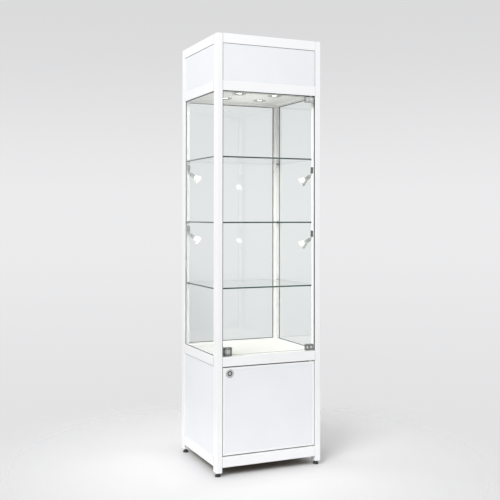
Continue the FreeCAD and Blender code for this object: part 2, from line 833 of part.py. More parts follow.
node(group(
    bush(header_base, "door_gap - bush_play", True),
    bush(middle_top, "door_gap", False),
    bush(middle_base, "door_gap - bush_play", True),
    bush(plinth_top, "door_gap", False),
), "door_bushes")


def pivot_drill(z):
    """Return the drilling through a rail's wall for a bush."""
    return rod(pivot_x, pivot_y, f"{z} - 2 * wall", bush_hole, "4 * wall")


# Glass door: pane, pivot clamps on its right corners, lock on its lower left corner
glass_front = "(-depth / 2 + door_glass_recess)"
glass_back = f"({glass_front} + door_glass_thickness)"
pane_low = f"({middle_top} + door_gap + clamp_bridge)"
pane_high = f"({header_base} - door_gap - clamp_bridge)"
lock_x = f"(-{door_half} + lock_inset + lock_width / 2)"
lock_low = f"({middle_top} + door_gap)"
lock_z = f"({lock_low} + lock_height / 2)"
pane_corner = (f"-{door_half}", glass_front, pane_low)
pane = box(*pane_corner, f"2 * {door_half}", "door_glass_thickness", f"{pane_high} - {pane_low}")
lock_radius_clear = "lock_radius + running_gap"
pane_hole = bar(lock_x, "-depth / 2", lock_z, f"{lock_radius_clear} + clamp_pad", "rail_depth")
node(cut(pane, pane_hole), "glass_door_pane")


def clamp(outer_z, up):
    """Return a channel clamp over a pane's corner with its pivot pin; up is 1 or -1."""
    slot_front = f"{glass_front} - clamp_pad"
    slot_back = f"{glass_back} + clamp_pad"
    bridge_z = f"{outer_z} - {up} * clamp_bridge"
    inner_z = f"{outer_z} - {up} * clamp_height"
    channel = extruded("YZ_Plane", "clamp_width", (
        (f"{slot_front} - clamp_plate", inner_z),
        (slot_front, inner_z),
        (slot_front, bridge_z),
        (slot_back, bridge_z),
        (slot_back, inner_z),
        (f"{slot_back} + clamp_plate", inner_z),
        (f"{slot_back} + clamp_plate", outer_z),
        (f"{slot_front} - clamp_plate", outer_z),
    ))
    front_corners = ((f"{slot_front} - clamp_plate", inner_z), (f"{slot_front} - clamp_plate", outer_z))
    rounded(channel, "clamp_edge_radius", "x", front_corners)
    place(channel, f"{door_half} - clamp_inset - clamp_width", "0", "0")
    pin_length = "(door_gap + pivot_engagement + clamp_bridge / 2)"
    pin_low = f"{outer_z} - {up} * clamp_bridge / 2"
    if up == -1:
        pin_low = f"{pin_low} - {pin_length}"
    return fuse(channel, rod(pivot_x, pivot_y, pin_low, "pivot_radius", pin_length))


upper_clamp = clamp(f"({header_base} - door_gap)", 1)
lower_clamp = clamp(f"({middle_top} + door_gap)", -1)
node(group(upper_clamp, lower_clamp), "glass_door_clamps")

# Lock of the glass door: a case round the pane's corner, a cylinder whose eccentric pin drives a bolt.
# At rest the pin stands half a right angle above the level; a quarter turn drops the bolt.
case_front = f"({glass_front} - clamp_pad - lock_front)"
case_back = f"({glass_back} + clamp_pad + lock_back)"
channel_back = f"({case_back} - lock_rear_wall)"
channel_front = f"({channel_back} - lock_bolt_thickness - 2 * lock_bolt_play)"
bolt_throw = "(drive_radius * sqrt(2))"
drive_offset = "(drive_radius * sqrt(2) / 2)"
bolt_low = f"({lock_low} + lock_bolt_play)"
case = extruded("YZ_Plane", "lock_width", (
    (case_front, lock_low),
    (case_back, lock_low),
    (case_back, f"{lock_low} + lock_height"),
    (f"{glass_back} + clamp_pad", f"{lock_low} + lock_height"),
    (f"{glass_back} + clamp_pad", f"{lock_low} + clamp_bridge"),
    (f"{glass_front} - clamp_pad", f"{lock_low} + clamp_bridge"),
    (f"{glass_front} - clamp_pad", f"{lock_low} + lock_height"),
    (case_front, f"{lock_low} + lock_height"),
))
rounded(case, "clamp_edge_radius", "x", ((case_front, lock_low), (case_front, f"{lock_low} + lock_height")))
place(case, f"-{door_half} + lock_inset", "0", "0")
bore_front = f"({case_front} - lock_proud)"
bore_length = f"({channel_front} - {bore_front})"
case_bore = bar(lock_x, bore_front, lock_z, lock_radius_clear, bore_length)
bolt_channel = box(
    f"{lock_x} - lock_bolt_width / 2 - lock_bolt_play",
    channel_front,
    f"{lock_low} - clamp_bridge",
    "lock_bolt_width + 2 * lock_bolt_play",
    f"{channel_back} - {channel_front}",
    "lock_bolt_height + clamp_bridge + 2 * lock_bolt_play",
)
node(cut(case, case_bore, bolt_channel), "glass_lock_case")
cylinder = bar(lock_x, bore_front, lock_z, "lock_radius", bore_length)
drive_pin = bar(
    f"{lock_x} + {drive_offset}",
    f"{channel_front} - lock_rear_wall",
    f"{lock_z} + {drive_offset}",
    "drive_pin_radius",
    "lock_rear_wall + lock_bolt_thickness",
)
key_slot = box(
    f"{lock_x} - key_slot_width / 2",
    bore_front,
    f"{lock_z} - key_slot_height / 2",
    "key_slot_width",
    "key_slot_depth",
    "key_slot_height",
)
node(cut(fuse(cylinder, drive_pin), key_slot), "glass_lock_cylinder")
slot_half = "(drive_pin_radius + drive_pin_play)"
slot_low_z = f"{lock_z} + {drive_offset} - {slot_half}"
slot_high_z = f"{lock_z} + {drive_offset} + {slot_half}"
bolt = extruded("XZ_Plane", "lock_bolt_thickness", (
    (f"{lock_x} - lock_bolt_width / 2", bolt_low),
    (f"{lock_x} + lock_bolt_width / 2", bolt_low),
    (f"{lock_x} + lock_bolt_width / 2", f"{bolt_low} + lock_bolt_height"),
    (f"{lock_x} - lock_bolt_width / 2", f"{bolt_low} + lock_bolt_height"),
), (
    (f"{lock_x} + {drive_offset} - {slot_half}", slot_low_z),
    (f"{lock_x} + drive_radius + {slot_half}", slot_low_z),
    (f"{lock_x} + drive_radius + {slot_half}", slot_high_z),
    (f"{lock_x} + {drive_offset} - {slot_half}", slot_high_z),
))
node(place(bolt, "0", f"{channel_back} - lock_bolt_play", "0"), "glass_lock_bolt")

# Front rails, drilled for the bushes and slotted for the bolt
strike = box(
    f"{lock_x} - lock_bolt_width / 2 - strike_play",
    f"{channel_front} - strike_play",
    f"{middle_top} - 2 * wall",
    "lock_bolt_width + 2 * strike_play",
    f"{channel_back} - {channel_front} + 2 * strike_play",
    "4 * wall",
)
node(cut(front_rails["plinth"], pivot_drill(plinth_top)), "plinth_rail_front")
middle_cuts = (pivot_drill(middle_base), pivot_drill(middle_top), strike)
node(cut(front_rails["middle"], *middle_cuts), "middle_rail_front")
node(cut(front_rails["header"], pivot_drill(header_base)), "header_rail_front")
node(front_rails["top"], "top_rail_front")

# Cupboard door: mitred edge profiles round a white panel, on its own pivot pins
door_front = "(-depth / 2 + door_recess)"
door_back = f"({door_front} + door_thickness)"
door_low = f"({plinth_top} + door_gap)"
door_high = f"({middle_base} - door_gap)"
outer_corners = (
    (f"-{door_half}", door_low),
    (door_half, door_low),
    (door_half, door_high),
    (f"-{door_half}", door_high),
)
inner_corners = (
    (f"-{door_half} + door_edge", f"{door_low} + door_edge"),
    (f"{door_half} - door_edge", f"{door_low} + door_edge"),
    (f"{door_half} - door_edge", f"{door_high} - door_edge"),
    (f"-{door_half} + door_edge", f"{door_high} - door_edge"),
)
edges = []
for start, end in ((0, 1), (1, 2), (2, 3), (3, 0)):
    mitred = (outer_corners[start], outer_corners[end], inner_corners[end], inner_corners[start])
    edges.append(place(extruded("XZ_Plane", "door_thickness", mitred), "0", door_back, "0"))
pin_depth = "(door_edge - door_panel_recess)"
pins = []
for count, low, high in ((0, f"({plinth_top} - pivot_engagement)", f"({door_low} + {pin_depth})"),
                         (2, f"({door_high} - {pin_depth})", f"({middle_base} + pivot_engagement)")):
    pins.append(rod(pivot_x, pivot_y, low, "pivot_radius", f"{high} - {low}"))
    bore_radius = "pivot_radius + pivot_hole_gap"
    edges[count] = cut(edges[count], rod(pivot_x, pivot_y, low, bore_radius, f"{high} - {low}"))
node(group(*edges), "cupboard_door_edges")
node(group(*pins), "cupboard_door_pins")
cam_x = f"(-{door_half} + cam_lock_inset_x)"
cam_z = f"({door_high} - cam_lock_inset_z)"
panel_front = f"({door_front} + door_panel_recess)"
panel_back = f"({door_back} - door_panel_recess)"
panel = place(extruded("XZ_Plane", f"{panel_back} - {panel_front}", inner_corners), "0", panel_back, "0")
panel_hole = bar(cam_x, "-depth / 2", cam_z, "cam_lock_radius + running_gap", "2 * rail_depth")
node(cut(panel, panel_hole), "cupboard_door_panel")

# Cupboard lock: flanged barrel and nut in the panel, and a plug whose cam swings behind the post
cam_front = f"(-{inner_y} + cam_gap)"
barrel_back = f"({cam_front} - cam_gap)"
plug_bore = "cam_lock_plug_radius + running_gap"
barrel = turned((
    (plug_bore, "0"),
    (plug_bore, f"{panel_front} - cam_lock_flange - {barrel_back}"),
    ("cam_lock_flange_radius", f"{panel_front} - cam_lock_flange - {barrel_back}"),
    ("cam_lock_flange_radius", f"{panel_front} - {barrel_back}"),
    ("cam_lock_radius", f"{panel_front} - {barrel_back}"),
    ("cam_lock_radius", "0"),
))
place(barrel, cam_x, barrel_back, cam_z, about("x", -90))
nut = turned((
    ("cam_lock_radius + running_gap", "0"),
    ("cam_lock_nut_radius", "0"),
    ("cam_lock_nut_radius", "cam_lock_nut"),
    ("cam_lock_radius + running_gap", "cam_lock_nut"),
))
node(group(barrel, place(nut, cam_x, panel_back, cam_z, about("x", -90))), "cupboard_lock_barrel")
plug_front = f"({panel_front} - cam_lock_flange - cam_lock_plug_proud)"
plug_length = f"{cam_front} + cam_thickness - {plug_front}"
plug = bar(cam_x, plug_front, cam_z, "cam_lock_plug_radius", plug_length)
hub = bar(cam_x, cam_front, cam_z, "cam_width / 2", "cam_thickness")
tongue_corner = (f"{cam_x} - cam_width / 2", cam_front, f"{cam_z} - cam_length")
tongue = box(*tongue_corner, "cam_width", "cam_thickness", "cam_length")
plug_slot = box(
    f"{cam_x} - key_slot_width / 2",
    plug_front,
    f"{cam_z} - key_slot_height / 2",
    "key_slot_width",
    "key_slot_depth",
    "key_slot_height",
)
node(cut(fuse(plug, hub, tongue), plug_slot), "cupboard_lock_plug")

# Build, test every object and write each sub-part
doc.recompute()
for item in doc.Objects:
    if "Invalid" in item.State or "Error" in item.State:
        raise RuntimeError(f"{item.Label} failed: {item.State}")
os.makedirs("parts", exist_ok=True)
for item in nodes:
    if item.Shape.isNull() or not item.Shape.isValid():
        raise RuntimeError(f"{item.Label} has no valid shape")
    item.Shape.exportStep(f"parts/{item.Label}.step")
print(len(nodes), "sub-parts,", sum(len(item.Shape.Solids) for item in nodes), "solids")
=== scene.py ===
import math
import bmesh
import bpy
from mathutils import Matrix, Vector


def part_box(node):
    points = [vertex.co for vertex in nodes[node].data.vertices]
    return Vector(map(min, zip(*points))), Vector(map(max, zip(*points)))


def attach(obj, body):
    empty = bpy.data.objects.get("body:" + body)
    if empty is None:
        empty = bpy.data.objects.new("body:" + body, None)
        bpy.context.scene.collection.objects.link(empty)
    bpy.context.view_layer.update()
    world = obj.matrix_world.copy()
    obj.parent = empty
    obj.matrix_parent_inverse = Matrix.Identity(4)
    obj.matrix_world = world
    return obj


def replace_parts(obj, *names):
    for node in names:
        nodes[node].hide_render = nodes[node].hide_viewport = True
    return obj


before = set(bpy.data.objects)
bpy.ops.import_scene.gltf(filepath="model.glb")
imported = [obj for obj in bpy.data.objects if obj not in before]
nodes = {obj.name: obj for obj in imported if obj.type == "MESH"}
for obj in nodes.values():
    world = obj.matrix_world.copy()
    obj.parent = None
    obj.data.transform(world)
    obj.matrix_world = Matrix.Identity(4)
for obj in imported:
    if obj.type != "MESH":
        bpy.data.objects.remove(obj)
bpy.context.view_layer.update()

# Levelling feet: a moulded black nylon pad with a grip of fine ribs, on a zinc-plated threaded stud.
# Each is screwed up into an aluminium insert pressed into the lower end of a post.


def remap(tree, value, source, target=(0.0, 1.0), smooth=False):
    """Return a socket that carries a value from one range into another."""
    node = tree.nodes.new("ShaderNodeMapRange")
    node.interpolation_type = "SMOOTHSTEP" if smooth else "LINEAR"
    node.inputs["From Min"].default_value, node.inputs["From Max"].default_value = source
    node.inputs["To Min"].default_value, node.inputs["To Max"].default_value = target
    tree.links.new(value, node.inputs["Value"])
    return node.outputs["Result"]


def clouds(tree, vector, scale, detail):
    """Return a socket with soft noise."""
    node = tree.nodes.new("ShaderNodeTexNoise")
    node.inputs["Scale"].default_value = scale
    node.inputs["Detail"].default_value = detail
    tree.links.new(vector, node.inputs["Vector"])
    return node.outputs["Fac"]


def surface(name, dark, light, rough, patch, relief=0.0, grain=900.0, metallic=0.0, stretch=(1, 1, 1)):
    """Return a finish whose colour and gloss wander between two values over a fine relief."""
    material = bpy.data.materials.new(name)
    material.use_nodes = True
    tree = material.node_tree
    shader = tree.nodes["Principled BSDF"]
    shader.inputs["Metallic"].default_value = metallic
    place = tree.nodes.new("ShaderNodeTexCoord")
    mapping = tree.nodes.new("ShaderNodeMapping")
    mapping.inputs["Scale"].default_value = stretch
    tree.links.new(place.outputs["Object"], mapping.inputs["Vector"])
    wander = clouds(tree, mapping.outputs["Vector"], patch, 4.0)
    middle = (0.3, 0.7)
    blend = tree.nodes.new("ShaderNodeValToRGB")
    for element, position, colour in zip(blend.color_ramp.elements, middle, (dark, light)):
        element.position = position
        element.color = (*colour, 1.0)
    tree.links.new(wander, blend.inputs["Fac"])
    tree.links.new(blend.outputs["Color"], shader.inputs["Base Color"])
    tree.links.new(remap(tree, wander, middle, rough), shader.inputs["Roughness"])
    if relief:
        bump = tree.nodes.new("ShaderNodeBump")
        bump.inputs["Strength"].default_value = relief
        bump.inputs["Distance"].default_value = 0.0004
        tree.links.new(clouds(tree, mapping.outputs["Vector"], grain, 2.0), bump.inputs["Height"])
        tree.links.new(bump.outputs["Normal"], shader.inputs["Normal"])
    return material


def dress(material, *names):
    """Give CAD nodes a finish."""
    for name in names:
        for slot in nodes[name].material_slots:
            slot.material = material


def turned(bm, profile, place, segments, paint=0, closed=False):
    """Turn a profile of radii and heights round its axis, and put it in its place."""
    before = set(bm.faces)
    points = [bm.verts.new((radius, 0.0, height)) for radius, height in profile]
    ends = points[1:] + points[:1] if closed else points[1:]
    lines = [bm.edges.new(pair) for pair in zip(points, ends)]
    bmesh.ops.spin(bm, geom=points + lines, cent=(0, 0, 0), axis=(0, 0, 1), angle=2 * math.pi,
                   steps=segments, use_merge=True)
    corners = {vert for face in bm.faces if face not in before for vert in face.verts}
    bmesh.ops.remove_doubles(bm, verts=list(corners), dist=1e-6)
    made = [face for face in bm.faces if face not in before]
    for face in made:
        face.material_index = paint
    bmesh.ops.transform(bm, matrix=place, verts=list({vert for face in made for vert in face.verts}))


def piece(name, bm, materials, body):
    """Turn a mesh into an object that rides on a body and takes the given finishes."""
    bmesh.ops.recalc_face_normals(bm, faces=bm.faces)
    mesh = bpy.data.meshes.new(name)
    bm.to_mesh(mesh)
    bm.free()
    mesh.polygons.foreach_set("use_smooth", [True] * len(mesh.polygons))
    mesh.set_sharp_from_angle(angle=math.radians(30))
    for material in materials:
        mesh.materials.append(material)
    thing = bpy.data.objects.new(name, mesh)
    bpy.context.scene.collection.objects.link(thing)
    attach(thing, body)
    return thing


CORNERS = ("front_left", "front_right", "rear_left", "rear_right")
RIBS, RIB_RING, RIB_RADIUS, RIB_LENGTH, RIB_MIDDLE = 24, 0.0121, 0.0006, 0.003, 0.0024
PAD_TOP, STUD_TOP = 0.0179, 0.0395
TURNS, THREAD_PITCH, THREAD_ROOT, THREAD_CREST = 16, 0.00125, 0.0034, 0.0039
nylon = surface("black_nylon", (0.012, 0.012, 0.013), (0.02, 0.02, 0.021), (0.42, 0.55), 60,
                relief=0.3, grain=1500)
zinc = surface("zinc_plate", (0.4, 0.4, 0.41), (0.52, 0.52, 0.51), (0.28, 0.4), 90,
               relief=0.1, grain=800, metallic=1.0)
dress(zinc, "foot_inserts")
for corner in CORNERS:
    low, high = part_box(f"foot_{corner}")
    place = Matrix.Translation(((low.x + high.x) / 2, (low.y + high.y) / 2, 0))
    pad = bmesh.new()
    turned(pad, [
        (0.0, 0.0), (0.0116, 0.0), (0.0122, 0.0003), (0.0124, 0.0010), (0.0124, 0.0038), (0.0121, 0.0043),
        (0.0115, 0.0047), (0.0080, 0.0126), (0.0073, 0.0133), (0.0070, 0.0140), (0.0070, 0.0176),
        (0.0067, PAD_TOP), (0.0, PAD_TOP),
    ], place, 96)
    for rib in range(RIBS):
        round_pad = Matrix.Rotation(rib * 2 * math.pi / RIBS, 4, "Z")
        rib_place = place @ round_pad @ Matrix.Translation((RIB_RING, 0, RIB_MIDDLE))
        bmesh.ops.create_cone(pad, cap_ends=True, segments=12, radius1=RIB_RADIUS, radius2=RIB_RADIUS,
                              depth=RIB_LENGTH, matrix=rib_place)
    thing = piece(f"foot_pad_{corner}", pad, [nylon], f"levelling_{corner}")
    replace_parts(thing, f"foot_{corner}")
    stud = bmesh.new()
    thread = [(0.0, PAD_TOP), (0.0033, PAD_TOP)]
    for turn in range(TURNS):
        start = PAD_TOP + 0.0003 + turn * THREAD_PITCH
        thread += [(THREAD_ROOT, start), (THREAD_CREST, start + 0.0005)]
        thread += [(THREAD_CREST, start + 0.0007), (THREAD_ROOT, start + 0.0012)]
    thread += [(THREAD_ROOT, STUD_TOP - 0.0009), (0.0028, STUD_TOP), (0.0, STUD_TOP)]
    turned(stud, thread, place, 32)
    piece(f"foot_stud_{corner}", stud, [zinc], f"levelling_{corner}")

# Frame: extruded aluminium posts and rails with glazing grooves, polyester powder coat in satin
# white, joined by cleats hidden in the rails' ends. Painted shade darkens the rails' ends for the hairline
# gap at the posts. Moulded caps close the posts.
post_low, post_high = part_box("post_front_right")
IN_X, OUT_X = post_low.x, post_high.x
IN_Y, OUT_Y = -post_high.y, -post_low.y
powder = surface("white_powder_coat", (0.85, 0.853, 0.858), (0.875, 0.878, 0.882), (0.34, 0.42), 5,
                 relief=0.06, grain=1400)
dress(powder, *(f"post_{corner}" for corner in CORNERS))


def past(tree, spans, pick):
    """Return a socket with how far a point lies past two half spans, for the lesser or greater one."""
    place = tree.nodes.new("ShaderNodeTexCoord")
    across = tree.nodes.new("ShaderNodeVectorMath")
    across.operation = "ABSOLUTE"
    tree.links.new(place.outputs["Object"], across.inputs[0])
    beyond = tree.nodes.new("ShaderNodeVectorMath")
    beyond.operation = "SUBTRACT"
    beyond.inputs[1].default_value = (*spans, 0.0)
    tree.links.new(across.outputs["Vector"], beyond.inputs[0])
    split = tree.nodes.new("ShaderNodeSeparateXYZ")
    tree.links.new(beyond.outputs["Vector"], split.inputs["Vector"])
    distance = tree.nodes.new("ShaderNodeMath")
    distance.operation = pick
    tree.links.new(split.outputs["X"], distance.inputs[0])
    tree.links.new(split.outputs["Y"], distance.inputs[1])
    return distance.outputs["Value"]


def feed(tree, socket, value):
    """Link a socket to another one, or give it a fixed value."""
    if isinstance(value, bpy.types.NodeSocket):
        tree.links.new(value, socket)
    else:
        socket.default_value = value


def mixed(tree, factor, first, second, how="MIX"):
    """Return a socket that blends two colours."""
    mix = tree.nodes.new("ShaderNodeMix")
    mix.data_type = "RGBA"
    mix.blend_type = how
    feed(tree, mix.inputs["Factor"], factor)
    feed(tree, mix.inputs["A"], first)
    feed(tree, mix.inputs["B"], second)
    return mix.outputs["Result"]


def with_painted_hairline_shade(name, coat):
    """Return a coat with painted shade in the hairline where a rail's cut ends meet the posts."""
    material = coat.copy()
    material.name = name
    tree = material.node_tree
    colour = tree.nodes["Principled BSDF"].inputs["Base Color"]
    # Painted shade: dark grey in the last millimetre before the posts, for the shadow in the hairline gap.
    hairline_shade_mask = remap(tree, past(tree, (IN_X, IN_Y), "MINIMUM"), (-0.0009, -0.0003), smooth=True)
    tree.links.new(mixed(tree, hairline_shade_mask, colour.links[0].from_socket, (0.12, 0.12, 0.12, 1.0)), colour)
    return material


rail_coat = with_painted_hairline_shade("rail_powder_coat", powder)
for level in ("plinth", "middle", "header", "top"):
    dress(rail_coat, f"{level}_rails", f"{level}_rail_front")
cap_plastic = surface("white_cap_plastic", (0.80, 0.805, 0.81), (0.83, 0.835, 0.84), (0.4, 0.5), 30,
                      relief=0.1, grain=1800)
dress(cap_plastic, "post_caps")
cleat = surface("mill_aluminium", (0.5, 0.51, 0.52), (0.6, 0.61, 0.62), (0.3, 0.42), 200,
                relief=0.1, grain=500, metallic=1.0, stretch=(1, 1, 0.1))
dress(cleat, "rail_connectors")

# Sheets that close the header and the cupboard: 4 mm board faced with a cool white laminate, slid into
# the grooves before the frame is closed, on black bedding strips that also stand in for the shade in the
# joint gaps. A rubber grommet in the rear header sheet takes the lamps' cable.
laminate = surface("white_laminate", (0.782, 0.797, 0.823), (0.804, 0.819, 0.843), (0.42, 0.5), 6,
                   relief=0.05, grain=2200)
dress(laminate, "header_panel_front", "header_panels", "cupboard_panel_left", "cupboard_panel_right",
      "cupboard_panel_rear")
# Black rubber for the grommet; its strips in the gaps also serve as painted shade.
rubber_and_painted_shade = surface("rubber_and_painted_shade", (0.015, 0.015, 0.015), (0.028, 0.028, 0.028), (0.6, 0.75), 80,
                       relief=0.3, grain=1500)
dress(rubber_and_painted_shade, "cable_grommet")


def strip(bm, low, high):
    """Add a plain bar between two corners."""
    low, high = Vector(low), Vector(high)
    bmesh.ops.create_cube(bm, size=1.0, matrix=Matrix.LocRotScale((low + high) / 2, None, high - low))


CLEAR = 0.0001
JOINT, JOINT_DEEP, JOINT_BACK = 0.0011, 0.0004, 0.0044
# Painted shade: black strips in the gaps round the header and cupboard sheets, for the shadow in the joints.
joint_shade_strips = bmesh.new()
base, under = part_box("header_rail_front")[1].z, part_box("top_rail_front")[0].z
ahead, behind = -OUT_Y + JOINT_DEEP, -OUT_Y + JOINT_BACK
strip(joint_shade_strips, (-IN_X + CLEAR, ahead, under - JOINT), (IN_X - CLEAR, behind, under - CLEAR))
for x in (-IN_X + CLEAR, IN_X - JOINT):
    strip(joint_shade_strips, (x, ahead, base + JOINT_DEEP), (x + JOINT - CLEAR, behind, under - JOINT))
for sign in (-1, 1):
    side = sorted((sign * (OUT_X - JOINT_DEEP), sign * (OUT_X - JOINT_BACK)))
    for level in (under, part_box("middle_rail_front")[0].z):
        strip(joint_shade_strips, (side[0], -IN_Y + CLEAR, level - JOINT), (side[1], IN_Y - CLEAR, level - CLEAR))
piece("panel_joint_shade_strips", joint_shade_strips, [rubber_and_painted_shade], "cabinet")

# Level boards in the rails' slots: deck, ceiling and roof of white melamine-faced board. The cupboard's
# floor is faced on its upper side only and shows brown chipboard underneath.
melamine = surface("white_melamine", (0.83, 0.83, 0.822), (0.86, 0.86, 0.852), (0.36, 0.46), 8,
                   relief=0.08, grain=1700)
dress(melamine, "deck", "ceiling", "roof")


def one_sided(name, face, back):
    """Return a finish that shows another colour on faces turned to the floor."""
    material = face.copy()
    material.name = name
    tree = material.node_tree
    colour = tree.nodes["Principled BSDF"].inputs["Base Color"]
    geometry = tree.nodes.new("ShaderNodeNewGeometry")
    split = tree.nodes.new("ShaderNodeSeparateXYZ")
    tree.links.new(geometry.outputs["True Normal"], split.inputs["Vector"])
    down = tree.nodes.new("ShaderNodeMath")
    down.operation = "LESS_THAN"
    down.inputs[1].default_value = -0.5
    tree.links.new(split.outputs["Z"], down.inputs[0])
    tree.links.new(mixed(tree, down.outputs["Value"], colour.links[0].from_socket, back), colour)
    return material


dress(one_sided("faced_chipboard", melamine, (0.20, 0.15, 0.09, 1.0)), "cupboard_floor")

# Fixed glazing: 4 mm clear float glass on three sides, bedded in a grey channel gasket whose lip shows
# as a thin line against the frame.


def float_glass(name, tint, film):
    """Return clear glass with a faint tint and film, which takes a little light on its way through."""
    material = bpy.data.materials.new(name)
    material.use_nodes = True
    tree = material.node_tree
    shader = tree.nodes["Principled BSDF"]
    shader.inputs["Base Color"].default_value = (*tint, 1.0)
    shader.inputs["Transmission Weight"].default_value = 1.0
    shader.inputs["IOR"].default_value = 1.5
    place = tree.nodes.new("ShaderNodeTexCoord")
    smear = clouds(tree, place.outputs["Object"], 3.0, 5.0)
    tree.links.new(remap(tree, smear, (0.45, 0.75), (0.0, film)), shader.inputs["Roughness"])
    path = tree.nodes.new("ShaderNodeLightPath")
    clear = tree.nodes.new("ShaderNodeBsdfTransparent")
    clear.inputs["Color"].default_value = (0.925, 0.923, 0.912, 1.0)
    mix = tree.nodes.new("ShaderNodeMixShader")
    tree.links.new(path.outputs["Is Shadow Ray"], mix.inputs["Fac"])
    tree.links.new(shader.outputs["BSDF"], mix.inputs[1])
    tree.links.new(clear.outputs["BSDF"], mix.inputs[2])
    tree.links.new(mix.outputs["Shader"], tree.nodes["Material Output"].inputs["Surface"])
    return material


FILM = 0.02
pane_glass = float_glass("float_glass", (0.968, 0.99, 0.984), FILM)
dress(pane_glass, "glass_left", "glass_right", "glass_rear")
gasket_rubber = surface("grey_gasket", (0.055, 0.062, 0.06), (0.085, 0.092, 0.09), (0.55, 0.7), 40,
                        relief=0.2, grain=900)
dress(gasket_rubber, "glazing_gaskets")

# Glass shelves: 6 mm float glass with polished edges, which look deep green along their length.
# Chrome clips on the posts hold each corner with a grub screw from below.
SHELVES = ("lower", "middle", "upper")
ARRIS = 0.0006
shelf_glass = float_glass("shelf_glass", (0.95, 0.98, 0.968), FILM)
green_edge = surface("green_glass_edge", (0.006, 0.034, 0.025), (0.016, 0.066, 0.05), (0.12, 0.22), 9)
green_edge.node_tree.nodes["Principled BSDF"].inputs["Specular IOR Level"].default_value = 0.04


def ground(bm, edges, thin):
    """Grind the arrises of a sheet of glass; all but its two large faces take the second finish."""
    bmesh.ops.bevel(bm, geom=edges, offset=ARRIS, offset_type="OFFSET", affect="EDGES", segments=1,
                    profile=0.5, material=-1)
    bm.normal_update()
    for face in bm.faces:
        face.material_index = 0 if abs(face.normal[thin]) > 0.99 else 1


for level in SHELVES:
    sheet = bmesh.new()
    strip(sheet, *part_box(f"shelf_{level}"))
    ground(sheet, sheet.edges[:], 2)
    thing = piece(f"shelf_sheet_{level}", sheet, [shelf_glass, green_edge], "cabinet")
    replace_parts(thing, f"shelf_{level}")
chrome = surface("chrome", (0.49, 0.505, 0.49), (0.59, 0.605, 0.59), (0.07, 0.15), 40,
                 relief=0.6, grain=120, metallic=1.0)
dress(chrome, "shelf_clips")


def screw(bm, foot, facing, radius, height):
    """Add a socket screw's head that stands on a point and faces a direction."""
    before = set(bm.faces)
    edge = min(0.3 * height, 0.0003)
    sunk = -0.0002
    turned(bm, [(0.0, sunk), (radius, sunk), (radius, height - edge), (radius - edge, height)], Matrix(), 36)
    socket = bmesh.ops.create_circle(bm, cap_ends=True, segments=6, radius=0.6 * radius,
                                     matrix=Matrix.Translation((0, 0, 0.15 * height)))
    sides = {line for vert in socket["verts"] for line in vert.link_edges}
    walls = bmesh.ops.extrude_edge_only(bm, edges=list(sides))["geom"]
    tops = [vert for vert in walls if isinstance(vert, bmesh.types.BMVert)]
    bmesh.ops.translate(bm, verts=tops, vec=(0, 0, 0.85 * height))
    open_lines = {line for face in bm.faces if face not in before for line in face.edges if line.is_boundary}
    bmesh.ops.triangle_fill(bm, use_beauty=True, edges=list(open_lines))
    made = {vert for face in bm.faces if face not in before for vert in face.verts}
    place = Matrix.Translation(foot) @ Vector(facing).to_track_quat("Z", "Y").to_matrix().to_4x4()
    bmesh.ops.transform(bm, matrix=place, verts=list(made))


CLIP_X, CLIP_INSET, CLIP_BELOW = 0.230, 0.0045, 0.0025
screw_steel = surface("screw_steel", (0.30, 0.30, 0.305), (0.38, 0.38, 0.385), (0.2, 0.3), 300, metallic=1.0)
grubs = bmesh.new()
for level in SHELVES:
    low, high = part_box(f"shelf_{level}")
    for x in (-CLIP_X, CLIP_X):
        for y in (low.y + CLIP_INSET, high.y - CLIP_INSET):
            screw(grubs, Vector((x, y, low.z - CLIP_BELOW)), (0, 0, -1), 0.0024, 0.0012)
piece("clip_screws", grubs, [screw_steel], "cabinet")

# Lamps of the header: turned chrome bezels let into the ceiling, each with a grey reflector dish round a
# lit dome over its diodes. Their driver lies on the ceiling inside the header.
dress(chrome, "downlight_bezels")
driver_plastic = surface("driver_plastic", (0.62, 0.62, 0.61), (0.68, 0.68, 0.67), (0.45, 0.55), 50,
                         relief=0.2, grain=1600)
dress(driver_plastic, "lamp_driver")


def glowing(name, strength, colour):
    """Return a frosted lens lit from behind, with fine prisms that break up its light."""
    material = surface(name, (0.8, 0.8, 0.78), (0.9, 0.9, 0.88), (0.3, 0.4), 200,
                       relief=0.2, grain=700)
    tree = material.node_tree
    shader = tree.nodes["Principled BSDF"]
    place = tree.nodes.new("ShaderNodeTexCoord")
    prisms = tree.nodes.new("ShaderNodeTexVoronoi")
    prisms.inputs["Scale"].default_value = 260.0
    tree.links.new(place.outputs["Object"], prisms.inputs["Vector"])
    power = remap(tree, prisms.outputs["Distance"], (0.0, 0.8), (strength, strength * 0.6))
    tree.links.new(power, shader.inputs["Emission Strength"])
    shader.inputs["Emission Color"].default_value = (*colour, 1.0)
    return material


LAMP_WHITE = (1.0, 0.97, 0.90)
ROUND = 64
DOWNLIGHTS = [(x, y) for x in (-0.088, 0.088) for y in (-0.082, 0.082)]
lens_glow = glowing("lit_lens", 6.5, LAMP_WHITE)
dish_grey = surface("reflector_grey", (0.42, 0.42, 0.41), (0.50, 0.50, 0.49), (0.2, 0.3), 150, metallic=0.6)
lenses = bmesh.new()
for x, y in DOWNLIGHTS:
    place = Matrix.Translation((x, y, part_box("ceiling")[0].z))
    turned(lenses, [
        (0.0, 0.0029), (0.0249, 0.0029), (0.0249, 0.0004), (0.0244, 0.0002), (0.0225, 0.0009),
        (0.0190, 0.0018), (0.0150, 0.0024), (0.0138, 0.0025), (0.0, 0.0025),
    ], place, ROUND, 1)
    turned(lenses, [
        (0.0, 0.0028), (0.0137, 0.0028), (0.0137, 0.0020), (0.0130, 0.0012), (0.0112, 0.0006),
        (0.0080, 0.0003), (0.0035, 0.0002), (0.0, 0.0002),
    ], place, ROUND)
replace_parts(piece("downlight_domes", lenses, [lens_glow, dish_grey], "cabinet"), "downlight_lenses")
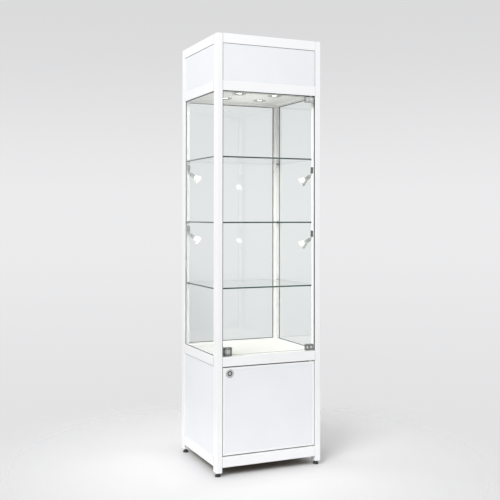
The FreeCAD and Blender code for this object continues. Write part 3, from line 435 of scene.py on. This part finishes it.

# Spotlights: nickel brackets screwed to two posts, with dark cheeks that hook round the posts' edges,
# chrome forks that swivel in them, and spun chrome bells that tilt in the forks. Each bell has
# blackened cooling grooves, a white flare with a faint painted glow for glare, and a lit lens in its mouth.
nickel = surface("nickel", (0.34, 0.34, 0.335), (0.44, 0.44, 0.43), (0.14, 0.24), 60,
                 relief=0.05, grain=900, metallic=1.0)
dress(nickel, "spot_bases")
bell_chrome = surface("spun_chrome", (0.66, 0.66, 0.65), (0.78, 0.78, 0.77), (0.08, 0.16), 30, metallic=1.0)
# Black for the bells' grooves and the brackets' cheeks; also painted shade in key slots and lock rings.
black_and_painted_shade = surface("black_finish_and_painted_shade", (0.03, 0.03, 0.03), (0.05, 0.05, 0.05), (0.4, 0.5), 120)
spot_glow = glowing("lit_spot_lens", 5.0, LAMP_WHITE)
# Painted glare: the bells' white flares glow faintly, though no lamp is behind them.
flare_painted_glow = glowing("flare_with_painted_glare", 0.03, (1.0, 0.985, 0.95))
LEDGE, PIN_DROP = 0.006, 0.009
SPOT_TURN, SPOT_TIP = math.radians(42), math.radians(126)
FIN_STARTS = (0.0141, 0.0191, 0.0241)
BRACKET_SCREWS, BRACKET_FACE = (0.0115, 0.0225), 0.003
CHEEK_LOW, CHEEK_HIGH = -0.005, 0.024
CHEEK_WALLS = (((0.0070, 0.0082), (0.0070, 0.0250)), ((0.0061, 0.0082), (0.0032, 0.0069)))


def spun_bell(place):
    """Return a bell from its collar to its flare, with the tongue and eye that tilt on the fork's pin."""
    bell = bmesh.new()
    turned(bell, [
        (0.0, 0.0090), (0.0066, 0.0090), (0.0078, 0.0095), (0.0084, 0.0104), (0.0085, 0.0112),
        (0.0085, 0.0139), (0.0080, 0.0141), (0.0, 0.0141),
    ], place, ROUND)
    for start in FIN_STARTS:
        turned(bell, [
            (0.0, start - 0.0004), (0.0074, start - 0.0004), (0.0074, start + 0.0018), (0.0, start + 0.0018),
        ], place, ROUND, 1)
        turned(bell, [
            (0.0, start + 0.0014), (0.0080, start + 0.0014), (0.0085, start + 0.0016),
            (0.0085, start + 0.0048), (0.0080, start + 0.0050), (0.0, start + 0.0050),
        ], place, ROUND)
    turned(bell, [
        (0.0, 0.0288), (0.0082, 0.0288), (0.0089, 0.0292), (0.0089, 0.0306), (0.0085, 0.0310),
        (0.0, 0.0310),
    ], place, ROUND)
    turned(bell, [
        (0.0, 0.0308), (0.0084, 0.0308), (0.0089, 0.0320), (0.0109, 0.0369), (0.0107, 0.0371),
        (0.0, 0.0371),
    ], place, ROUND)
    turned(bell, [
        (0.0, 0.0368), (0.0106, 0.0368), (0.0110, 0.0372), (0.0196, 0.0584), (0.0200, 0.0592),
        (0.0200, 0.0606), (0.0197, 0.0610), (0.0188, 0.0610), (0.0186, 0.0607), (0.0186, 0.0590),
        (0.0175, 0.0562), (0.0170, 0.0555), (0.0, 0.0555),
    ], place, ROUND, 2)
    tongue = Matrix.LocRotScale((0, 0, 0.0048), None, (0.009, 0.0046, 0.0096))
    bmesh.ops.create_cube(bell, size=1.0, matrix=place @ tongue)
    eye = place @ Matrix.Translation((0, 0.0023, 0)) @ Matrix.Rotation(math.pi / 2, 4, "X")
    turned(bell, [
        (0.0, 0.0), (0.0042, 0.0), (0.0045, 0.0003), (0.0045, 0.0043), (0.0042, 0.0046), (0.0, 0.0046),
    ], eye, 40)
    return bell


bell_finishes = [bell_chrome, black_and_painted_shade, flare_painted_glow]
bracket_screws, cheeks = bmesh.new(), bmesh.new()
for corner, half_turn, sign in (("rear_left", 0.0, 1.0), ("front_right", math.pi, -1.0)):
    for level in ("lower", "upper"):
        tag = f"{corner}_{level}"
        dress(chrome, f"spot_arm_{tag}")
        low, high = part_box(f"spot_arm_{tag}")
        swivel = Vector(((low.x + high.x) / 2, (low.y + high.y) / 2, high.z - LEDGE))
        for height in BRACKET_SCREWS:
            foot = swivel + Vector((0, sign * BRACKET_FACE, height))
            screw(bracket_screws, foot, (0, -sign, 0), 0.0028, 0.0014)
        for across, along in CHEEK_WALLS:
            left, right = sorted(sign * x for x in across)
            ahead, behind = sorted(sign * y for y in along)
            strip(cheeks, swivel + Vector((left, ahead, CHEEK_LOW)),
                  swivel + Vector((right, behind, CHEEK_HIGH)))
        aim = Matrix.Rotation(half_turn - SPOT_TURN, 4, "Z") @ Matrix.Rotation(SPOT_TIP, 4, "Y")
        place = Matrix.Translation(swivel - Vector((0, 0, PIN_DROP))) @ aim
        thing = piece(f"spot_bell_{tag}", spun_bell(place), bell_finishes, f"lamp_{tag}")
        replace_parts(thing, f"spot_head_{tag}")
        lens = bmesh.new()
        turned(lens, [
            (0.0, 0.0546), (0.0176, 0.0546), (0.0178, 0.0560), (0.0120, 0.0566), (0.0040, 0.0568),
            (0.0, 0.0568),
        ], place, ROUND)
        piece(f"spot_lens_{tag}", lens, [spot_glow], f"lamp_{tag}")
piece("bracket_screws", bracket_screws, [screw_steel], "cabinet")
piece("bracket_cheeks", cheeks, [black_and_painted_shade], "cabinet")

# Glass door: one 6 mm pane with polished edges on chrome pivot clamps, each drawn up by two socket
# screws, and a nickel lock with a satin cylinder at its lower left corner. The pins turn in bushes in
# the rails, and black rubber seals line the opening, partly as painted shade in the gaps round the door.
door_glass = float_glass("door_glass", (0.974, 0.992, 0.987), FILM)
LOCK_HOLE = 0.0094
low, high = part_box("glass_door_pane")
key_low, key_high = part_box("glass_lock_cylinder")
lock_x, lock_z = (key_low.x + key_high.x) / 2, (key_low.z + key_high.z) / 2
turn_up = Matrix.Rotation(math.pi / 2, 4, "X")
pane = bmesh.new()
corners = ((low.x, low.z), (high.x, low.z), (high.x, high.z), (low.x, high.z))
outline = [pane.verts.new((x, low.y, z)) for x, z in corners]
borders = [pane.edges.new(pair) for pair in zip(outline, outline[1:] + outline[:1])]
hole = bmesh.ops.create_circle(pane, cap_ends=False, segments=48, radius=LOCK_HOLE,
                               matrix=Matrix.Translation((lock_x, low.y, lock_z)) @ turn_up)["verts"]
borders += list({line for vert in hole for line in vert.link_edges})
bmesh.ops.triangle_fill(pane, use_beauty=True, edges=borders)
back = bmesh.ops.extrude_face_region(pane, geom=pane.faces[:])["geom"]
back = [part for part in back if isinstance(part, bmesh.types.BMVert)]
bmesh.ops.translate(pane, verts=back, vec=(0, high.y - low.y, 0))
bmesh.ops.recalc_face_normals(pane, faces=pane.faces)
sharp = [line for line in pane.edges if line.calc_face_angle(0.0) > 1.0]
ground(pane, [line for line in sharp if abs(line.verts[0].co.y - line.verts[1].co.y) < 1e-5], 1)
thing = piece("door_sheet", pane, [door_glass, green_edge], "glass_door")
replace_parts(thing, "glass_door_pane")

CLAMP_WIDTH, CLAMP_SCREW_INSET, CLAMP_SCREWS = 0.040, 0.0272, (0.010, 0.029)
PAD_FROM_TOP, PAD_HEIGHT, PAD_PROUD, PAD_INSET = 0.0158, 0.0024, 0.0002, 0.0004
dress(chrome, "glass_door_clamps")
satin = surface("satin_chrome", (0.70, 0.70, 0.695), (0.78, 0.78, 0.775), (0.34, 0.46), 120,
                relief=0.1, grain=700, metallic=0.45)
low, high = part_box("glass_door_clamps")
clamp_left = high.x - CLAMP_WIDTH
clamp_screws = bmesh.new()
for z in (low.z + CLAMP_SCREW_INSET, high.z - CLAMP_SCREW_INSET):
    for x in (clamp_left + across for across in CLAMP_SCREWS):
        screw(clamp_screws, Vector((x, low.y, z)), (0, -1, 0), 0.0052, 0.0007)
        screw(clamp_screws, Vector((x, high.y, z)), (0, 1, 0), 0.0040, 0.0012)
piece("clamp_screws", clamp_screws, [satin], "glass_door")
# Painted shade: black rubber pads at the clamps' tops stand in for the shadow in the gap under the rail.
shade_pads = bmesh.new()
pad_low = high.z - PAD_FROM_TOP
strip(shade_pads, (clamp_left + PAD_INSET, low.y - PAD_PROUD, pad_low),
      (high.x - PAD_INSET, low.y + PAD_INSET, pad_low + PAD_HEIGHT))
piece("clamp_shade_pads", shade_pads, [rubber_and_painted_shade], "glass_door")


def washer(bm, centre, section, paint=0):
    """Lay a flat ring on a front face: its section is a closed line of radii and heights."""
    turned(bm, section, Matrix.Translation(centre) @ turn_up, ROUND, paint, True)


def keyway(name, face, half_length, proud, body):
    """Add a black bar in the middle of a plug's face, as painted shade for the hollow of its key slot."""
    slit = bmesh.new()
    reach = Vector((KEY_HALF_WIDTH, 0, half_length))
    strip(slit, face - reach - Vector((0, proud, 0)), face + reach + Vector((0, KEY_DEEP, 0)))
    piece(name, slit, [black_and_painted_shade], body)


KEY_HALF_WIDTH, KEY_DEEP = 0.0011, 0.001
CASE_SCREW_X, CASE_SCREW_Z = 0.005, 0.007
dress(nickel, "glass_lock_case", "glass_lock_bolt")
dress(satin, "glass_lock_cylinder")
case_low, case_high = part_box("glass_lock_case")
lock_centre = Vector((lock_x, case_low.y, lock_z))
# Painted shade: the inner ring round the cylinder is black, for the shadow in the gap round it.
lock_trim = bmesh.new()
washer(lock_trim, lock_centre, (
    (LOCK_HOLE, -0.0002), (LOCK_HOLE, 0.0002), (0.0097, 0.0003), (0.0125, 0.0003), (0.0126, -0.0002)), 1)
washer(lock_trim, lock_centre, (
    (0.0126, -0.0002), (0.0127, 0.0004), (0.0129, 0.0005), (0.0138, 0.0005), (0.0141, 0.0002),
    (0.0141, -0.0002)))
for z in (case_low.z + CASE_SCREW_Z, case_high.z - CASE_SCREW_Z):
    for x in (case_low.x + CASE_SCREW_X, case_high.x - CASE_SCREW_X):
        screw(lock_trim, Vector((x, case_high.y, z)), (0, 1, 0), 0.0025, 0.0010)
piece("lock_trim", lock_trim, [satin, black_and_painted_shade], "glass_door")
keyway("glass_lock_keyway", Vector((lock_x, key_low.y, lock_z)), 0.0048, CLEAR, "door_lock_cylinder")

PIVOT_X, BUSH_ROOM = 0.203, 0.0066
SEAL_WIDTH, SEAL_HEIGHT, SEAL_END, SEAL_BACK, SEAL_LIP = 0.0023, 0.0021, 0.0002, 0.0015, 0.002
low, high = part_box("glass_door_pane")
ahead, behind = low.y + ARRIS, high.y + SEAL_BACK
floor_z, roof_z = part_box("middle_rail_front")[1].z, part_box("header_rail_front")[0].z
# Painted shade: the black seals at the sides and top also darken the door gaps, where shadow falls.
seal_shade_strips = bmesh.new()
for x in (-IN_X + CLEAR, IN_X - SEAL_WIDTH - CLEAR):
    strip(seal_shade_strips, (x, ahead, floor_z + SEAL_END), (x + SEAL_WIDTH, behind, roof_z - SEAL_END))
seal_ends = (-IN_X + SEAL_WIDTH + 2 * CLEAR, IN_X - SEAL_WIDTH - 3 * CLEAR)
for start, end in ((seal_ends[0], PIVOT_X - BUSH_ROOM), (PIVOT_X + BUSH_ROOM, seal_ends[1])):
    strip(seal_shade_strips, (start, ahead - SEAL_LIP, roof_z - SEAL_HEIGHT - CLEAR), (end, behind, roof_z - CLEAR))
piece("door_seal_shade_strips", seal_shade_strips, [rubber_and_painted_shade], "cabinet")
bush_plastic = surface("white_bush", (0.76, 0.76, 0.75), (0.8, 0.8, 0.79), (0.4, 0.5), 60,
                       relief=0.1, grain=1500)
dress(bush_plastic, "door_bushes")

# Cupboard door: white laminated panel in mitred coated edge profiles with black rubber lips, on steel pivot
# pins, closing on black rubber stops; lips and stops also stand in for the shade in the gaps round the
# door. A flanged cam lock with a ringed rosette sits at its upper left corner.
dress(laminate, "cupboard_door_panel")
dress(powder, "cupboard_door_edges")
dress(zinc, "cupboard_door_pins")
dress(satin, "cupboard_lock_barrel", "cupboard_lock_plug")
STOP_END, STOP_WIDTH, STOP_HEIGHT, STOP_LAP = 0.195, 0.0013, 0.0025, 0.0018
STOP_FRONT, SIDE_STOP_FRONT, STOP_BACK = 0.001, 0.004, 0.010
LIP_INSET, LIP_HEIGHT, LIP_PROUD, LIP_BACK = 0.0012, 0.0016, 0.0002, 0.0008
low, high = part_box("cupboard_door_edges")
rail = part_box("middle_rail_front")[0].z
left = -IN_X + CLEAR
# Painted shade: black stops and lips also darken the gaps round the cupboard door, where shadow falls.
stops = bmesh.new()
back = low.y + STOP_BACK
strip(stops, (left, low.y + STOP_FRONT, rail - STOP_HEIGHT - CLEAR), (STOP_END, back, rail - CLEAR))
strip(stops, (left, low.y + SIDE_STOP_FRONT, low.z), (left + STOP_WIDTH, back, rail - STOP_LAP))
piece("cupboard_seal_shade_strips", stops, [rubber_and_painted_shade], "cabinet")
lip_shade_strips = bmesh.new()
for z in (low.z + CLEAR, high.z - CLEAR - LIP_HEIGHT):
    strip(lip_shade_strips, (low.x + LIP_INSET, low.y - LIP_PROUD, z),
          (high.x - LIP_INSET, low.y + LIP_BACK, z + LIP_HEIGHT))
piece("cupboard_door_lip_shade_strips", lip_shade_strips, [rubber_and_painted_shade], "cupboard_door")
low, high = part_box("cupboard_lock_barrel")
cam_eye = Vector(((low.x + high.x) / 2, low.y, (low.z + high.z) / 2))
# Painted shade: a black ring round the plug, for the shadow in the gap to the flange, inside a chrome ring.
rosette = bmesh.new()
washer(rosette, cam_eye, (
    (0.0064, -0.0001), (0.0064, 0.0004), (0.0072, 0.0005), (0.0102, 0.0005), (0.0110, 0.0002),
    (0.0110, -0.0001)))
washer(rosette, cam_eye, (
    (0.0150, -0.0001), (0.0151, 0.0002), (0.0160, 0.0003), (0.0167, 0.0002), (0.0168, -0.0001)), 1)
piece("lock_rosette", rosette, [black_and_painted_shade, chrome], "cupboard_door")
plug_face = Vector((cam_eye.x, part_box("cupboard_lock_plug")[0].y, cam_eye.z))
keyway("cupboard_keyway", plug_face, 0.0042, 2 * CLEAR, "cupboard_lock")

# Studio: pale floor paper with a painted warm shadow under the cabinet, that fades into a pale backdrop.
# A large soft light stands high on the front left, and the header's own lamps light the inside.
FLOOR_RADIUS, FLOOR_FADE, SHADE_EDGE = 4.0, (0.42, 1.45), (-0.09, 0.01)
floor_mesh = bmesh.new()
bmesh.ops.create_circle(floor_mesh, cap_ends=True, segments=128, radius=FLOOR_RADIUS)
floor_data = bpy.data.meshes.new("floor")
floor_mesh.to_mesh(floor_data)
floor_mesh.free()
floor = bpy.data.objects.new("floor", floor_data)
bpy.context.scene.collection.objects.link(floor)
floor_finish = bpy.data.materials.new("floor_paper")
floor_finish.use_nodes = True
tree = floor_finish.node_tree
shader = tree.nodes["Principled BSDF"]
shader.inputs["Roughness"].default_value = 0.55
# Painted shadow: the paper turns dark warm grey under the cabinet, fading out a centimetre past its outline.
out_of_painted_shadow = remap(tree, past(tree, (OUT_X, OUT_Y), "MAXIMUM"), SHADE_EDGE, smooth=True)
paper_and_painted_shadow = mixed(tree, out_of_painted_shadow, (0.33, 0.31, 0.26, 1.0), (0.73, 0.73, 0.735, 1.0))
tree.links.new(paper_and_painted_shadow, shader.inputs["Base Color"])
place = tree.nodes.new("ShaderNodeTexCoord")
length = tree.nodes.new("ShaderNodeVectorMath")
length.operation = "LENGTH"
tree.links.new(place.outputs["Object"], length.inputs[0])
gone = tree.nodes.new("ShaderNodeBsdfTransparent")
mix = tree.nodes.new("ShaderNodeMixShader")
tree.links.new(remap(tree, length.outputs["Value"], FLOOR_FADE, smooth=True), mix.inputs["Fac"])
tree.links.new(shader.outputs["BSDF"], mix.inputs[1])
tree.links.new(gone.outputs["BSDF"], mix.inputs[2])
tree.links.new(mix.outputs["Shader"], tree.nodes["Material Output"].inputs["Surface"])
floor.data.materials.append(floor_finish)

FILL, COOL = 0.66, 1.012
world = bpy.data.worlds.new("studio")
world.use_nodes = True
tree = world.node_tree
place = tree.nodes.new("ShaderNodeTexCoord")
split = tree.nodes.new("ShaderNodeSeparateXYZ")
tree.links.new(place.outputs["Generated"], split.inputs["Vector"])


def sky(stops, low, high):
    """Return a socket with a shade that changes from the bottom to the top of the backdrop."""
    ramp = tree.nodes.new("ShaderNodeValToRGB")
    ramp.color_ramp.interpolation = "EASE"
    while len(ramp.color_ramp.elements) < len(stops):
        ramp.color_ramp.elements.new(0.5)
    for element, (position, value) in zip(ramp.color_ramp.elements, stops):
        element.position = position
        element.color = (value, value, COOL * value, 1.0)
    tree.links.new(remap(tree, split.outputs["Z"], (low, high)), ramp.inputs["Fac"])
    return ramp.outputs["Color"]


seen = sky(((0.0, 0.77), (0.5, 0.84), (1.0, 0.71)), -0.24, 0.24)
fill = sky(((0.0, FILL), (0.47, FILL), (0.51, 0.44 * FILL), (0.57, 0.5 * FILL), (0.68, 1.1 * FILL),
            (1.0, 1.12 * FILL)), -1.0, 1.0)
mirrored = sky(((0.0, 0.10), (0.3, 0.32), (0.5, 0.6), (1.0, 1.5)), -0.3, 0.8)
patches = clouds(tree, place.outputs["Generated"], 2.6, 2.0)
bars = remap(tree, patches, (0.44, 0.56), (0.10, 1.9), smooth=True)
mirrored = mixed(tree, 1.0, mirrored, bars, "MULTIPLY")
path = tree.nodes.new("ShaderNodeLightPath")
unscattered = tree.nodes.new("ShaderNodeMath")
unscattered.operation = "LESS_THAN"
unscattered.inputs[1].default_value = 0.5
tree.links.new(path.outputs["Diffuse Depth"], unscattered.inputs[0])
behind_glass = mixed(tree, unscattered.outputs["Value"], (0.0, 0.0, 0.0, 1.0), seen)
light = mixed(tree, path.outputs["Is Diffuse Ray"], seen, fill)
light = mixed(tree, path.outputs["Is Glossy Ray"], light, mirrored)
light = mixed(tree, path.outputs["Is Transmission Ray"], light, behind_glass)
tree.links.new(light, tree.nodes["Background"].inputs["Color"])
bpy.context.scene.world = world


def soft_light(name, place, target, size, power, colour=(1.0, 1.0, 1.0), spread=180):
    """Add a square soft light aimed at a point."""
    lamp = bpy.data.lights.new(name, "AREA")
    lamp.size = size
    lamp.energy = power
    lamp.color = colour
    lamp.spread = math.radians(spread)
    thing = bpy.data.objects.new(name, lamp)
    thing.location = place
    thing.rotation_euler = (Vector(target) - Vector(place)).to_track_quat("-Z", "Y").to_euler()
    bpy.context.scene.collection.objects.link(thing)
    thing.visible_camera = False
    thing.visible_transmission = False
    return thing


LAMP_Z, BOUNCE_Z = 1.66, 1.42
soft_light("key", (-5.6, -4.6, 6.0), (0, 0, 0.8), 3.9, 650)
bounce = soft_light("ceiling_bounce", (0, 0, BOUNCE_Z), (0, 0, LAMP_Z), 0.3, 0.65, LAMP_WHITE)
bounce.visible_glossy = False
for x, y in DOWNLIGHTS:
    lamp = soft_light("downlight", (x, y, LAMP_Z), (x, y, 0), 0.045, 0.50, (1.0, 0.95, 0.86), 95)
    lamp.visible_glossy = False

# Camera: nearly level view from the left front, a little above half height. The lens is shifted down, so
# that upright edges stay close to parallel.
YAW, PITCH, ROLL = 0.4162, 0.0115, 0.0011
camera_data = bpy.data.cameras.new("camera")
camera_data.lens = 60.56
camera_data.sensor_width = 36.0
camera_data.shift_x = -0.00026
camera_data.shift_y = -0.0871
camera = bpy.data.objects.new("camera", camera_data)
bpy.context.scene.collection.objects.link(camera)
camera.matrix_world = (
    Matrix.Translation((-1.57092, -3.5625, 1.11364))
    @ Matrix.Rotation(-YAW, 4, "Z")
    @ Matrix.Rotation(math.pi / 2 + PITCH, 4, "X")
    @ Matrix.Rotation(ROLL, 4, "Z")
)
bpy.context.scene.camera = camera
bpy.context.scene.view_settings.view_transform = "Standard"
